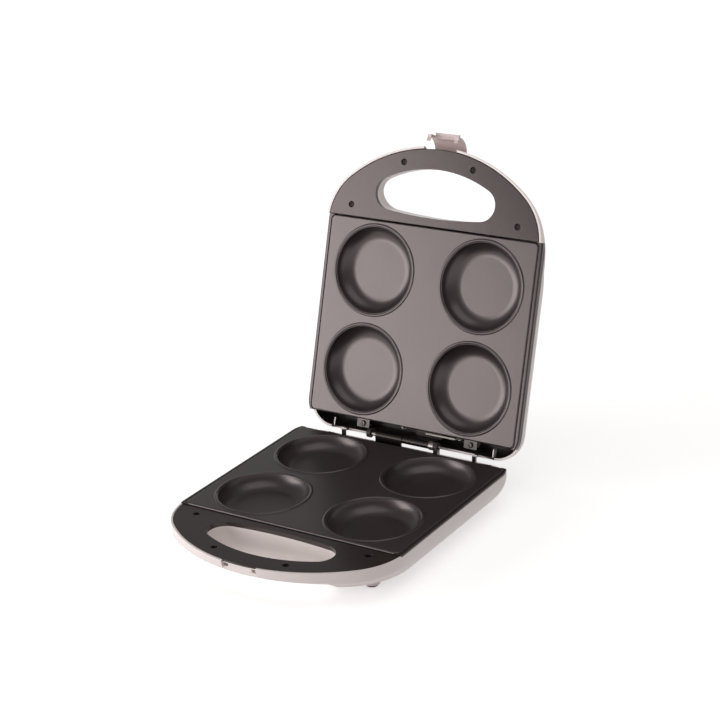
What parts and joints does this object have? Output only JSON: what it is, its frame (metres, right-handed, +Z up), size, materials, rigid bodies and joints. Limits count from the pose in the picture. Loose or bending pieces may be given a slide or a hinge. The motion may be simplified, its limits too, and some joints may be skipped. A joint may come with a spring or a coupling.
{
  "type": "countertop well-plate cooker",
  "caption": "Countertop cooker with a hinged lid: two mirrored shells hold cast plates with round wells, a looped handle each and a curved latch at the lid's nose.",
  "frame": {"origin": "on the surface that the feet stand on, under the middle of the outline with the lid open", "axes": "+Z up, +Y from the handles towards the hinge and the open lid, +X to the right when the handles face the viewer"},
  "size_m": [0.2378, 0.39, 0.3254],
  "materials": {
    "white_housing": "moulded, satin gloss",
    "dark_cover": "moulded, satin",
    "dark_screws": "blackened",
    "coated_plate": "cast, with a satin non-stick coating",
    "element_sheath": "annealed sheath",
    "sheet_steel": "zinc plated sheet",
    "thermostat_body": "moulded phenolic",
    "plain_screws": "zinc plated",
    "hinge_steel": "blackened",
    "lead_sleeve": "silicone glass sleeve",
    "pin_steel": "bright zinc",
    "foot_rubber": "moulded",
    "bush_rubber": "moulded",
    "terminal_body": "moulded",
    "fuse_sleeve": "glass sleeve",
    "red_lens": "clear tinted",
    "green_lens": "clear tinted",
    "lamp_glass": "clear",
    "latch_plastic": "moulded, satin gloss"
  },
  "bodies": {
    "base": {"lower_housing": "white_housing", "lower_handle_cover": "dark_cover", "lower_cover_screws": "dark_screws", "lower_cooking_plate": "coated_plate", "lower_heating_element": "element_sheath", "lower_element_clips": "sheet_steel", "lower_heat_shield": "sheet_steel", "lower_thermostat": "thermostat_body", "lower_inner_screws": "plain_screws", "lower_hinge_leaf": "hinge_steel", "lower_leads": "lead_sleeve", "hinge_pin": "pin_steel", "hinge_pin_collar": "pin_steel", "rubber_feet": "foot_rubber", "cord_bush": "bush_rubber", "terminal_block": "terminal_body", "thermal_fuse": "fuse_sleeve"},
    "lid": {"upper_housing": "white_housing", "upper_handle_cover": "dark_cover", "upper_cover_screws": "dark_screws", "upper_cooking_plate": "coated_plate", "upper_heating_element": "element_sheath", "upper_element_clips": "sheet_steel", "upper_heat_shield": "sheet_steel", "upper_thermostat": "thermostat_body", "upper_inner_screws": "plain_screws", "upper_hinge_leaf": "hinge_steel", "upper_leads": "lead_sleeve", "power_lamp_lens": "red_lens", "ready_lamp_lens": "green_lens", "neon_lamps": "lamp_glass", "splice_caps": "terminal_body", "latch_pin": "pin_steel"},
    "latch": {"latch_clip": "latch_plastic"}
  },
  "joints": [
    {"name": "lid_hinge", "type": "hinge", "parent": "base", "child": "lid", "pos_m": [0, 0.09105, 0.041], "axis": [1, 0, 0], "range_deg": [0, 107.08]},
    {"name": "latch_pivot", "type": "hinge", "parent": "lid", "child": "latch", "pos_m": [0, 0.18771, 0.29428], "axis": [1, 0, 0], "range_deg": [0, 25]}
  ]
}
